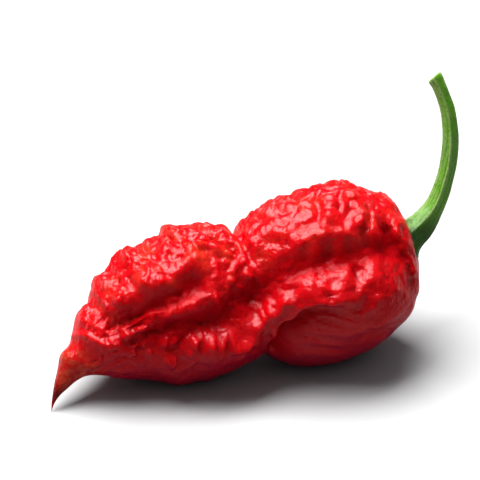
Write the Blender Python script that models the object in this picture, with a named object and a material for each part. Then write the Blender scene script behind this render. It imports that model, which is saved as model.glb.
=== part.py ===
"""Ghost pepper: one wrinkled, lobed fruit with its green calyx and cut stalk, lying on a flat surface.

The pod is a closed skin of rings. Each ring joins a point of the upper outline to one of the lower outline, in a
plane that leans back, and bulges to the front and to the back. Folds and puffs then move the skin in and out.
"""

import math

import bmesh
import bpy
import numpy as np
from mathutils import Vector, noise
from mathutils.bvhtree import BVHTree

# Lengths in the tables are millimetres, and the objects are made in metres.
MM = 0.001

# The outlines lie in a plane that leans back from the vertical. A point is (along, up, toward): along the pod from
# its tip, up the leaning plane, and out of the plane toward the front.
PLANE_LEAN = math.radians(30.0)
FLOOR_HEIGHT = 4.6  # of the surface that the pod lies on, above the plane's own zero

# Each ring of the pod, from the tip to the calyx: its point on the upper outline and on the lower one.
RINGS = (
    ((0.0, 0.0), (0.0, 0.0)),
    ((0.0, 1.4), (0.4, 1.3)),
    ((0.2, 3.2), (1.4, 2.9)),
    ((0.5, 5.2), (2.9, 4.3)),
    ((1.1, 7.9), (4.7, 5.8)),
    ((1.6, 10.4), (6.8, 6.7)),
    ((3.2, 12.3), (9.2, 6.8)),
    ((3.8, 14.8), (11.5, 6.2)),
    ((4.7, 18.1), (14.0, 6.1)),
    ((6.3, 19.4), (16.0, 6.0)),
    ((7.0, 22.0), (18.0, 5.9)),
    ((7.7, 24.3), (20.0, 5.6)),
    ((9.7, 25.4), (22.3, 5.0)),
    ((11.0, 27.9), (24.5, 5.2)),
    ((12.6, 29.5), (26.5, 5.6)),
    ((14.8, 29.9), (28.3, 5.8)),
    ((16.9, 31.0), (30.1, 6.5)),
    ((19.1, 31.9), (31.7, 7.2)),
    ((20.1, 33.3), (32.9, 7.7)),
    ((22.7, 33.5), (34.4, 8.5)),
    ((25.7, 33.7), (35.6, 9.1)),
    ((28.8, 33.8), (36.9, 10.0)),
    ((31.1, 33.4), (37.7, 10.6)),
    ((32.6, 32.0), (38.2, 10.8)),
    ((33.5, 34.0), (39.1, 10.1)),
    ((35.1, 35.5), (40.9, 9.2)),
    ((36.9, 37.0), (43.2, 8.5)),
    ((39.2, 38.1), (45.9, 8.3)),
    ((41.8, 39.2), (48.6, 8.4)),
    ((44.3, 40.0), (50.9, 8.7)),
    ((46.8, 40.9), (53.3, 9.4)),
    ((49.5, 41.4), (55.4, 10.3)),
    ((52.0, 41.8), (57.6, 11.3)),
    ((54.7, 41.0), (59.6, 13.0)),
    ((57.2, 40.2), (61.4, 14.8)),
    ((59.4, 39.6), (63.0, 16.6)),
    ((61.2, 38.1), (64.6, 18.7)),
    ((62.5, 36.0), (65.6, 20.7)),
    ((63.2, 34.2), (66.1, 23.2)),
    ((64.0, 32.9), (66.2, 25.6)),
    ((64.3, 31.9), (66.0, 27.5)),
    ((64.9, 29.7), (64.9, 29.7)),
)

# Where the rings' middles lie in depth and how deep they bulge, as (along, toward, front, back). Front and back are
# shares of half the ring's height.
DEPTHS = (
    (0.0, 9.2, 1.0, 1.0),
    (4.0, 8.1, 1.0, 1.0),
    (10.0, 5.6, 0.98, 0.98),
    (18.0, 3.6, 0.93, 0.95),
    (25.0, 2.2, 0.9, 0.92),
    (33.0, 0.6, 0.88, 0.88),
    (37.0, -0.2, 0.9, 0.86),
    (45.0, -2.0, 0.93, 0.93),
    (53.0, -3.7, 0.92, 0.95),
    (60.0, -5.0, 0.96, 0.98),
    (65.0, -6.0, 1.0, 1.0),
)

# The waist between the bulges pinches the outlines more than the front and the back, which get this much back.
WAIST_ALONG = 35.4
WAIST_LENGTH = 1.3
WAIST_FILL = 1.4

# The tip end is turned toward the front: each ring's front leads its back by this share of its depth. The seat under
# the calyx is turned the other way, so that the calyx shows its front, and the rings go over into it at the end.
POD_SWING = 0.19
SEAT_SWING = -0.12
SEAT_SWING_SPAN = (0.9, 0.99)

TIP_WAY = 0.03  # the first share of the way, where relief fades in
SEAT_WAY = 0.07  # the last share of the way to the calyx, where the skin smooths out into a seat for it

# Folds run from left to right as (along, up) points. Each has its side, the shares of its length over which it eases
# in and out, and the height and width of the skin's change above the line and below it. A negative height sinks the
# skin. Over the distance "turn" either side of its line, a fold goes from its lower height to its upper one.
FOLDS = (
    {
        "name": "front suture",
        "side": "front",
        "turn": 1.0,
        "eases": (0.14, 0.05),
        "path": ((12.2, 11.9), (15.1, 12.4), (19.4, 14.4), (23.8, 14.8), (27.9, 15.8), (32.2, 16.7), (36.4, 19.6),
                 (40.1, 22.3), (43.6, 24.8), (47.0, 25.9), (50.6, 26.8), (54.4, 27.4), (57.4, 28.3), (61.0, 29.0),
                 (63.4, 30.2), (64.1, 30.8)),
        "above": (-1.9, 4.0),
        "below": (-1.7, 3.3),
    },
    {
        "name": "lip over the front suture",
        "side": "front",
        "turn": 1.0,
        "eases": (0.3, 0.1),
        "path": ((38.0, 26.0), (43.0, 30.4), (48.4, 32.2), (54.0, 32.4), (60.0, 33.4)),
        "above": (0.6, 3.0),
        "below": (0.8, 2.4),
    },
    {
        "name": "ridge under the front suture",
        "side": "front",
        "turn": 1.0,
        "eases": (0.14, 0.1),
        "path": ((23.0, 10.4), (27.5, 11.2), (31.1, 11.4), (34.7, 13.0), (37.8, 15.7), (40.1, 18.2), (44.1, 20.4),
                 (48.2, 21.6), (52.7, 22.9), (56.7, 23.8), (61.2, 25.0), (64.4, 26.3)),
        "above": (1.1, 2.7),
        "below": (1.2, 2.8),
    },
    {
        "name": "lower half of that ridge at the calyx end",
        "side": "front",
        "turn": 1.0,
        "eases": (0.3, 0.2),
        "path": ((42.0, 18.8), (48.0, 20.4), (53.0, 21.4), (58.0, 21.6), (64.0, 22.2)),
        "above": (0.4, 2.6),
        "below": (0.8, 4.2),
    },
    {
        "name": "lobe under the ridge at the calyx end",
        "side": "front",
        "turn": 1.5,
        "eases": (0.35, 0.1),
        "path": ((48.0, 14.5), (53.0, 15.6), (58.0, 17.0), (62.0, 18.8), (65.5, 21.5)),
        "above": (1.5, 4.6),
        "below": (1.5, 2.8),
    },
    {
        "name": "ledge over the smooth underside",
        "side": "front",
        "turn": 1.0,
        "eases": (0.08, 0.35),
        "path": ((37.8, 10.8), (39.1, 13.5), (40.9, 15.5), (43.6, 16.6), (45.7, 18.5), (47.2, 19.4), (49.3, 19.6),
                 (54.0, 19.3)),
        "above": (0.5, 1.6),
        "below": (-2.0, 3.2),
    },
    {
        "name": "crease along the lower calyx end",
        "side": "front",
        "turn": 1.0,
        "eases": (0.2, 0.2),
        "path": ((53.6, 13.3), (57.1, 14.4), (59.6, 15.7), (62.1, 17.3), (64.1, 19.3), (65.5, 20.3), (66.1, 22.0)),
        "above": (-1.0, 1.0),
        "below": (-0.8, 0.9),
    },
    {
        "name": "shaded slope of the tip-side bulge",
        "side": "front",
        "turn": 2.6,
        "eases": (0.2, 0.3),
        "path": ((8.6, 15.6), (11.0, 16.8), (13.7, 18.2), (16.9, 20.2), (20.0, 21.3), (22.0, 22.4), (24.3, 24.0),
                 (26.6, 24.8), (28.8, 25.0), (31.0, 24.6)),
        "above": (1.2, 3.8),
        "below": (-1.8, 3.4),
    },
    {
        "name": "ridge under the shaded slope",
        "side": "front",
        "turn": 1.0,
        "eases": (0.1, 0.3),
        "path": ((4.7, 14.2), (10.1, 11.9), (13.9, 14.2), (18.5, 16.2), (21.4, 17.6), (25.0, 18.4), (28.1, 18.9),
                 (32.0, 20.2)),
        "above": (0.9, 1.8),
        "below": (1.0, 1.5),
    },
    {
        "name": "flange on top of the tip-side bulge",
        "side": "front",
        "turn": 1.0,
        "eases": (0.14, 0.1),
        "path": ((20.0, 31.7), (22.3, 30.1), (24.8, 29.9), (28.8, 30.4), (31.1, 29.5), (33.3, 27.7)),
        "above": (-0.9, 1.3),
        "below": (0.7, 1.8),
    },
    {
        "name": "upper suture of the calyx-side bulge",
        "side": "front",
        "turn": 1.0,
        "eases": (0.14, 0.1),
        "path": ((33.8, 31.7), (35.1, 34.0), (37.1, 35.8), (40.1, 37.1), (42.8, 37.6), (46.4, 38.2), (51.8, 38.3),
                 (57.2, 37.6)),
        "above": (-1.1, 1.2),
        "below": (0.6, 1.8),
    },
    {
        "name": "back suture",
        "side": "back",
        "turn": 1.0,
        "eases": (0.14, 0.1),
        "path": ((6.0, 9.6), (13.0, 12.6), (21.0, 17.5), (29.0, 19.6), (37.0, 21.0), (44.0, 23.8), (52.0, 24.2),
                 (60.0, 27.2), (64.5, 29.6)),
        "above": (-1.9, 1.9),
        "below": (-1.9, 2.6),
    },
    {
        "name": "ridge over the back suture",
        "side": "back",
        "turn": 1.0,
        "eases": (0.14, 0.1),
        "path": ((12.0, 17.5), (20.0, 22.0), (28.0, 24.6), (36.0, 26.0), (44.0, 29.6), (53.0, 30.0)),
        "above": (0.8, 2.4),
        "below": (0.8, 2.0),
    },
    {
        "name": "upper back crease",
        "side": "back",
        "turn": 1.0,
        "eases": (0.14, 0.1),
        "path": ((12.0, 25.0), (19.0, 28.2), (26.0, 28.0), (33.0, 28.2), (39.0, 33.0), (47.0, 35.0), (56.0, 34.2)),
        "above": (-1.1, 1.4),
        "below": (-0.7, 1.6),
    },
    {
        "name": "lower back crease",
        "side": "back",
        "turn": 1.0,
        "eases": (0.14, 0.1),
        "path": ((12.0, 8.6), (21.0, 10.2), (29.0, 13.0), (37.0, 15.0), (45.0, 14.6), (54.0, 17.4), (62.0, 22.0)),
        "above": (-1.2, 1.6),
        "below": (-0.4, 1.4),
    },
)

FOLD_SHAPE = 1.5  # 1 makes a fold's profile a sharp V, and 2 a round hollow or hump
SIDE_BLEND = 0.25  # how far past the outline, as a cosine, the folds of one side fade into the other

# Puffs of skin between wrinkles. Small ones stand in every direction, and on the calyx-side bulge they line up in
# columns across the pod. Broad lumps lie under both.
PUFF_SIZE = 3.1
PUFF_HEIGHT = 2.3
PUFF_MEAN = 0.33  # taken off, so that puffs neither swell nor shrink the pod
PUFF_WARP = 0.55
COLUMN_PITCH = 3.1
COLUMN_HEIGHT = 1.0
COLUMN_MEAN = 0.68
COLUMN_WANDER = 0.55
COLUMN_LEAN = -0.25
COLUMN_SPAN = (30.0, 38.0)  # columns fade in over this stretch from the tip
COLUMN_THINS_PUFFS = 0.4
LUMP_SIZE = 7.0
LUMP_HEIGHT = 0.45
WANDER_SIZE = 4.4
CREASE_ROUNDING = 0.14
SMOOTH_TIP = (4.0, 10.0)  # the skin is smooth up to the first length and fully puffed from the second
UNDERSIDE = (-0.8, -0.3)  # sines of the turn between the smoother underside and the puffed upper side
UNDERSIDE_SHARE = 0.35
SEED = 5  # of the noise that bends the puffs
SEED_SHIFT = Vector((11.3, 4.7, 8.1))

# Each ring of the calyx and stalk, from the calyx's underside to the cut end: its left point, its right point and how
# far its middle lies toward the front.
STALK_RINGS = (
    ((64.9, 31.0), (64.9, 31.0), -6.0),
    ((64.2, 32.7), (65.6, 29.3), -6.0),
    ((63.5, 34.3), (66.3, 27.7), -6.0),
    ((64.0, 34.5), (67.0, 29.1), -6.1),
    ((64.3, 34.9), (67.6, 30.6), -6.2),
    ((64.9, 35.4), (68.6, 32.2), -6.3),
    ((65.7, 36.2), (69.4, 33.8), -6.3),
    ((66.6, 37.2), (70.1, 35.5), -6.3),
    ((67.5, 38.4), (70.9, 37.4), -6.1),
    ((68.3, 40.0), (71.7, 39.6), -5.8),
    ((68.9, 41.6), (72.2, 41.6), -5.5),
    ((69.5, 43.5), (72.7, 43.7), -5.1),
    ((70.0, 46.3), (73.1, 46.8), -4.4),
    ((70.3, 49.3), (73.2, 49.5), -3.6),
    ((70.2, 52.2), (72.9, 52.6), -2.8),
    ((69.9, 54.4), (72.5, 54.9), -2.1),
    ((69.2, 56.7), (71.7, 57.2), -1.4),
    ((68.5, 58.3), (71.0, 59.0), -0.8),
    ((67.9, 59.6), (69.8, 61.2), -0.3),
    ((68.8, 60.4), (68.8, 60.4), -0.3),
)
STALK_RIDGES = 5
STALK_RIDGE_HEIGHT = 0.11  # as a share of the radius
STALK_RIDGE_TURN = math.radians(5.0)
CALYX_TEETH = 5
CALYX_TOOTH_REACH = 0.5
CALYX_TOOTH_TURN = math.radians(20.0)
CALYX_RIM_WAY = 0.12  # where the rim comes on the way from the calyx's underside to the cut end
CALYX_RIM_LENGTH = 0.02
CALYX_RIM_RING = 2
SEAT_GAP = 0.4  # clearance between calyx and pod
CLEAR_STEPS = 6  # times that a calyx point may be lifted on its way clear

# How finely the skins are divided.
POD_RINGS = 70
POD_SIDES = 84
STEM_RINGS = 34
STEM_SIDES = 25
SHARP_EDGE = math.radians(50.0)

POD_RED = (0.62, 0.012, 0.016, 1.0)
STEM_GREEN = (0.13, 0.27, 0.05, 1.0)


def clear_scene():
    for item in list(bpy.data.objects):
        bpy.data.objects.remove(item, do_unlink=True)


def curve_through(knots, values, at):
    """A smooth curve that passes through values at knots, read at the given places."""
    knots = np.asarray(knots, float)
    values = np.asarray(values, float)
    slopes = np.gradient(values, knots, axis=0)
    span = np.clip(np.searchsorted(knots, at, side="right") - 1, 0, len(knots) - 2)
    width = (knots[span + 1] - knots[span])[:, None]
    s = (np.asarray(at)[:, None] - knots[span][:, None]) / width
    rest = 1.0 - s
    return (
        (1 + 2 * s) * rest**2 * values[span]
        + s**2 * (3 - 2 * s) * values[span + 1]
        + width * s * rest**2 * slopes[span]
        - width * s**2 * rest * slopes[span + 1]
    )


def smooth_between(low, high, value):
    s = np.clip((value - low) / (high - low), 0.0, 1.0)
    return s * s * (3 - 2 * s)


def ring_knots(rings):
    """How far each ring is from the first, measured along both outlines, as a share of the whole."""
    first = np.array([ring[0] for ring in rings])
    second = np.array([ring[1] for ring in rings])
    steps = np.linalg.norm(np.diff(first, axis=0), axis=1) + np.linalg.norm(np.diff(second, axis=0), axis=1)
    return np.concatenate([[0.0], np.cumsum(steps)]) / steps.sum()


def ring_middles(rings, way):
    """The middle and half-width of the ring at each way, between the two outlines."""
    outline = curve_through(ring_knots(rings), [ring[0] + ring[1] for ring in rings], way)
    return (outline[:, :2] + outline[:, 2:]) / 2, (outline[:, :2] - outline[:, 2:]) / 2


def swung(half, share):
    """A shift along the middle line, square to a ring's half-width and this share of it long."""
    return np.column_stack([half[:, 1], -half[:, 0]]) * share[:, None]


def bare_skin(way, turn):
    """The pod before folds, as each ring's middle and the way out from it to the skin.

    Way runs from 0 at the tip to 1 at the calyx, and turn goes round each ring.
    """
    middle, half = ring_middles(RINGS, way)
    depth = curve_through([row[0] for row in DEPTHS], [row[1:] for row in DEPTHS], np.clip(middle[:, 0], 0.0, 65.0))
    share = np.where(np.cos(turn) > 0, depth[:, 1], depth[:, 2])
    waist = WAIST_FILL * np.exp(-(((middle[:, 0] - WAIST_ALONG) / WAIST_LENGTH) ** 2))
    out = (share * np.linalg.norm(half, axis=1) + waist) * np.cos(turn)
    swing = POD_SWING + (SEAT_SWING - POD_SWING) * smooth_between(*SEAT_SWING_SPAN, way)
    flat = half * np.sin(turn)[:, None] + swung(half, swing * depth[:, 1] * np.cos(turn))
    return np.column_stack([middle, depth[:, 0]]), np.column_stack([flat, out])


def place_on_path(points, path):
    """For each point, its distance from the path, above it where positive, and how far along the path it is."""
    path = np.asarray(path, float)
    knots = np.concatenate([[0.0], np.cumsum(np.linalg.norm(np.diff(path, axis=0), axis=1))])
    fine = np.linspace(0.0, knots[-1], 6 * len(path))
    line = curve_through(knots, path, fine)
    start, run = line[:-1], np.diff(line, axis=0)
    rel = points[:, None, :] - start[None, :, :]
    s = np.clip((rel * run).sum(axis=2) / (run**2).sum(axis=1), 0.0, 1.0)
    off = rel - s[:, :, None] * run
    gap = np.linalg.norm(off, axis=2)
    near = gap.argmin(axis=1)
    rows = np.arange(len(points))
    across = run[near, 0] * off[rows, near, 1] - run[near, 1] * off[rows, near, 0]
    return np.sign(across) * gap[rows, near], (near + s[rows, near]) / len(run)


def fold_relief(fold, points, front):
    """How far a fold moves the skin: full along its middle, easing out at both ends."""
    gap, share = place_on_path(points[:, :2], fold["path"])
    ease_in, ease_out = fold["eases"]
    ends = smooth_between(0.0, ease_in, share) * smooth_between(0.0, ease_out, 1 - share)
    upper_height, upper_width = fold["above"]
    lower_height, lower_width = fold["below"]
    upper = upper_height * np.exp(-((np.abs(gap) / upper_width) ** FOLD_SHAPE))
    lower = lower_height * np.exp(-((np.abs(gap) / lower_width) ** FOLD_SHAPE))
    mix = smooth_between(-fold["turn"], fold["turn"], gap)
    facing = front if fold["side"] == "front" else 1 - front
    return (upper * mix + lower * (1 - mix)) * ends * facing


def rounded(value):
    """The size of a value, with the sharp corner at zero rounded off."""
    return math.sqrt(value * value + CREASE_ROUNDING**2)


def billow(place):
    """Rounded puffs, parted by creases: high in the middle of a puff, low in a crease."""
    warp = noise.noise_vector(place / 2) * PUFF_WARP
    return rounded(noise.noise(place + warp)) - PUFF_MEAN


def columns(place):
    """Puffs lined up in columns that run across the pod, each a little crooked."""
    wander = COLUMN_WANDER * noise.noise(place / WANDER_SIZE + SEED_SHIFT)
    phase = (place.x - COLUMN_LEAN * place.y) / COLUMN_PITCH + wander
    return rounded(math.sin(math.pi * phase)) - COLUMN_MEAN


def puff_relief(points, turn):
    """How far puffs, columns and lumps move the skin: least on the tip and on the underside."""
    rough = smooth_between(*SMOOTH_TIP, points[:, 0])
    rough *= UNDERSIDE_SHARE + (1 - UNDERSIDE_SHARE) * smooth_between(*UNDERSIDE, np.sin(turn))
    calyx_side = smooth_between(*COLUMN_SPAN, points[:, 0])
    relief = np.empty(len(points))
    for i, point in enumerate(points):
        place = Vector(point)
        puff = PUFF_HEIGHT * (1 - COLUMN_THINS_PUFFS * calyx_side[i]) * billow(place / PUFF_SIZE + SEED_SHIFT)
        column = COLUMN_HEIGHT * calyx_side[i] * columns(place)
        relief[i] = puff + column + LUMP_HEIGHT * noise.noise(place / LUMP_SIZE - SEED_SHIFT)
    return relief * rough


def pod_skin(way, turn):
    """The finished skin in the leaning plane's own coordinates."""
    middle, out = bare_skin(way, turn)
    points = middle + out
    front = smooth_between(-SIDE_BLEND, SIDE_BLEND, np.cos(turn))
    relief = puff_relief(points, turn)
    for fold in FOLDS:
        relief = relief + fold_relief(fold, points, front)
    relief *= smooth_between(0.0, TIP_WAY, way) * smooth_between(0.0, SEAT_WAY, 1 - way)
    reach = np.maximum(np.linalg.norm(out, axis=1), 1e-6)
    return points + out * (relief / reach)[:, None]


def stand_up(points):
    """From the leaning plane to the room: X along the pod, Y away from the front, Z up from the surface."""
    along, up, toward = points.T
    back = up * math.sin(PLANE_LEAN) - toward * math.cos(PLANE_LEAN)
    height = up * math.cos(PLANE_LEAN) + toward * math.sin(PLANE_LEAN)
    return np.column_stack([along, back, height])


def stalk_skin(way, turn):
    """The calyx and stalk: way runs from the calyx's underside to the cut end."""
    middle, half = ring_middles(STALK_RINGS, way)
    toward = curve_through(ring_knots(STALK_RINGS), [[ring[2]] for ring in STALK_RINGS], way)[:, 0]
    radius = np.linalg.norm(half, axis=1)
    ridge = 1 + STALK_RIDGE_HEIGHT * np.cos(STALK_RIDGES * (turn - STALK_RIDGE_TURN))
    tooth = np.maximum(0.0, np.cos(CALYX_TEETH * (turn - CALYX_TOOTH_TURN))) ** 2
    rim = np.exp(-(((way - CALYX_RIM_WAY) / CALYX_RIM_LENGTH) ** 2))
    reach = ridge + CALYX_TOOTH_REACH * tooth * rim / np.maximum(radius, 1.0)
    swing = SEAT_SWING * (1 - smooth_between(CALYX_RIM_WAY, 3 * CALYX_RIM_WAY, way))
    flat = middle + half * (np.sin(turn) * reach)[:, None] + swung(half, swing * reach * np.cos(turn))
    return np.column_stack([flat, toward + radius * reach * np.cos(turn)])


def sphere_grid(sides, rings):
    """A ball's mesh, with each vertex's way from pole to pole and its turn round the axis."""
    ball = bmesh.new()
    bmesh.ops.create_uvsphere(ball, u_segments=sides, v_segments=rings, radius=1.0)
    places = np.array([vertex.co for vertex in ball.verts])
    way = np.arccos(np.clip(places[:, 2], -1.0, 1.0)) / math.pi
    turn = np.arctan2(places[:, 1], places[:, 0])
    return ball, way, turn


def finish_mesh(name, ball, points, colour, roughness, collection):
    """Moves the ball's vertices to their places and makes the named object of it."""
    for vertex, point in zip(ball.verts, points):
        vertex.co = Vector(point) * MM
    mesh = bpy.data.meshes.new(name)
    ball.to_mesh(mesh)
    ball.free()
    mesh.shade_smooth()
    mesh.set_sharp_from_angle(angle=SHARP_EDGE)
    mesh.materials.append(plain_material(name, colour, roughness))
    item = bpy.data.objects.new(name, mesh)
    collection.objects.link(item)
    return item


def plain_material(name, colour, roughness):
    material = bpy.data.materials.new(name)
    material.use_nodes = True
    shader = material.node_tree.nodes["Principled BSDF"]
    shader.inputs["Base Color"].default_value = colour
    shader.inputs["Roughness"].default_value = roughness
    shader.inputs["Metallic"].default_value = 0.0
    return material


def make_pod(collection):
    ball, way, turn = sphere_grid(POD_SIDES, POD_RINGS)
    points = stand_up(pod_skin(way, turn))
    points[:, 2] -= FLOOR_HEIGHT
    points[:, 2] = np.maximum(points[:, 2], 0.0)
    return finish_mesh("pod", ball, points, POD_RED, 0.25, collection)


def keep_clear(points, pod, gap, away):
    """Lifts each point that is closer to the pod than the gap, always in the same direction."""
    skin = BVHTree.FromPolygons([v.co / MM for v in pod.data.vertices], [p.vertices[:] for p in pod.data.polygons])
    for i, point in enumerate(points):
        place = Vector(point)
        for _ in range(CLEAR_STEPS):
            spot, normal, _, _ = skin.find_nearest(place)
            height = (place - spot).dot(normal)
            if height >= gap:
                break
            place += away * (gap - height)
        points[i] = place
    return points


def make_stem(collection, pod):
    ball, way, turn = sphere_grid(STEM_SIDES, STEM_RINGS)
    points = stand_up(stalk_skin(way, turn))
    points[:, 2] -= FLOOR_HEIGHT
    first, last = STALK_RINGS[CALYX_RIM_RING][:2]
    across = np.subtract(first, last)
    away = stand_up(np.array([[across[1], -across[0], -SEAT_SWING * np.linalg.norm(across)]]))[0]
    points = keep_clear(points, pod, SEAT_GAP, Vector(away).normalized())
    return finish_mesh("stem", ball, points, STEM_GREEN, 0.4, collection)


def centre_over_origin(items):
    """Puts the origin at the middle of the whole thing's footprint, on the surface it lies on."""
    corners = np.array([vertex.co for item in items for vertex in item.data.vertices])
    middle = (corners.min(axis=0) + corners.max(axis=0)) / 2
    for item in items:
        for vertex in item.data.vertices:
            vertex.co.x -= middle[0]
            vertex.co.y -= middle[1]


def main():
    clear_scene()
    noise.seed_set(SEED)
    collection = bpy.data.collections.new("ghost_pepper")
    bpy.context.scene.collection.children.link(collection)
    pod = make_pod(collection)
    stem = make_stem(collection, pod)
    centre_over_origin([pod, stem])


main()
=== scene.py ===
"""Ghost pepper: the wrinkled red skin, the green calyx and stalk, and a pale table in soft light.

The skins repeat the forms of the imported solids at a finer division, and add the small wrinkles.
Lengths are millimetres, except in the materials and the light, where they are metres.
"""

import math

import bmesh
import bpy
import numpy as np
from mathutils import Matrix, Vector, noise
from mathutils.bvhtree import BVHTree

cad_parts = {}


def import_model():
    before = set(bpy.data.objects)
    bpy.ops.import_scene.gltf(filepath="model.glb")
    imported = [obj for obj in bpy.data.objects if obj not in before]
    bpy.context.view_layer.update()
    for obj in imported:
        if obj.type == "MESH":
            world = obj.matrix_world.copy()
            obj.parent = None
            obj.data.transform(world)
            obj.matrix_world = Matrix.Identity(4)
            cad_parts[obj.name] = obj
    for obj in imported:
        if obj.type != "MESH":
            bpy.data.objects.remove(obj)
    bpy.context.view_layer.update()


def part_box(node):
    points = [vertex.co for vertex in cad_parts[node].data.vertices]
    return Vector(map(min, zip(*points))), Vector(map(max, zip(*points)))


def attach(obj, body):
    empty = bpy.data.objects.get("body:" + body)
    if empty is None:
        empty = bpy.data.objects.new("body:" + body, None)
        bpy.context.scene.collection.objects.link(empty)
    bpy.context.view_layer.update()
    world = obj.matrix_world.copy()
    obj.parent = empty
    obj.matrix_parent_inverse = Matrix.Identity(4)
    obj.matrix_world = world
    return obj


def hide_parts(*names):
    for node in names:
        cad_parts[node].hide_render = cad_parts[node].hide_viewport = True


MM = 0.001

# A point of the leaning plane is (along, up, toward): from the tip along the pod, up, and
# frontward.
PLANE_LEAN = math.radians(30.0)
TIP = (0.0, 0.0, 9.2)

# Each ring of the pod, from the tip to the calyx: its upper outline's point and its lower one's.
RINGS = (
    ((0.0, 0.0), (0.0, 0.0)), ((0.0, 1.4), (0.4, 1.3)), ((0.2, 3.2), (1.4, 2.9)),
    ((0.5, 5.2), (2.9, 4.3)), ((1.1, 7.9), (4.7, 5.8)), ((1.6, 10.4), (6.8, 6.7)),
    ((3.2, 12.3), (9.2, 6.8)), ((3.8, 14.8), (11.5, 6.2)), ((4.7, 18.1), (14.0, 6.1)),
    ((6.3, 19.4), (16.0, 6.0)), ((7.0, 22.0), (18.0, 5.9)), ((7.7, 24.3), (20.0, 5.6)),
    ((9.7, 25.4), (22.3, 5.0)), ((11.0, 27.9), (24.5, 5.2)), ((12.6, 29.5), (26.5, 5.6)),
    ((14.8, 29.9), (28.3, 5.8)), ((16.9, 31.0), (30.1, 6.5)), ((19.1, 31.9), (31.7, 7.2)),
    ((20.1, 33.3), (32.9, 7.7)), ((22.7, 33.5), (34.4, 8.5)), ((25.7, 33.7), (35.6, 9.1)),
    ((28.8, 33.8), (36.9, 10.0)), ((31.1, 33.4), (37.7, 10.6)), ((32.6, 32.0), (38.2, 10.8)),
    ((33.5, 34.0), (39.1, 10.1)), ((35.1, 35.5), (40.9, 9.2)), ((36.9, 37.0), (43.2, 8.5)),
    ((39.2, 38.1), (45.9, 8.3)), ((41.8, 39.2), (48.6, 8.4)), ((44.3, 40.0), (50.9, 8.7)),
    ((46.8, 40.9), (53.3, 9.4)), ((49.5, 41.4), (55.4, 10.3)), ((52.0, 41.8), (57.6, 11.3)),
    ((54.7, 41.0), (59.6, 13.0)), ((57.2, 40.2), (61.4, 14.8)), ((59.4, 39.6), (63.0, 16.6)),
    ((61.2, 38.1), (64.6, 18.7)), ((62.5, 36.0), (65.6, 20.7)), ((63.2, 34.2), (66.1, 23.2)),
    ((64.0, 32.9), (66.2, 25.6)), ((64.3, 31.9), (66.0, 27.5)), ((64.9, 29.7), (64.9, 29.7)),
)

# Where the rings' middles lie in depth and how deep they bulge, as (along, toward, front, back).
DEPTHS = (
    (0.0, 9.2, 1.0, 1.0),
    (4.0, 8.1, 1.0, 1.0),
    (10.0, 5.6, 0.98, 0.98),
    (18.0, 3.6, 0.93, 0.95),
    (25.0, 2.2, 0.9, 0.92),
    (33.0, 0.6, 0.88, 0.88),
    (37.0, -0.2, 0.9, 0.86),
    (45.0, -2.0, 0.93, 0.93),
    (53.0, -3.7, 0.92, 0.95),
    (60.0, -5.0, 0.96, 0.98),
    (65.0, -6.0, 1.0, 1.0),
)

# The waist is a little deeper than the rings make it.
WAIST_ALONG = 35.4
WAIST_LENGTH = 1.3
WAIST_FILL = 1.4

# How far a ring's front is shifted along the pod, as a share of its depth, and where along the way
# the pod's own shift goes over into the calyx's.
POD_SWING = 0.19
SEAT_SWING = -0.12
SEAT_SWING_SPAN = (0.9, 0.99)

# The shares of the way at the tip and at the calyx where the relief fades out.
TIP_WAY = 0.03
SEAT_WAY = 0.05

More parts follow.
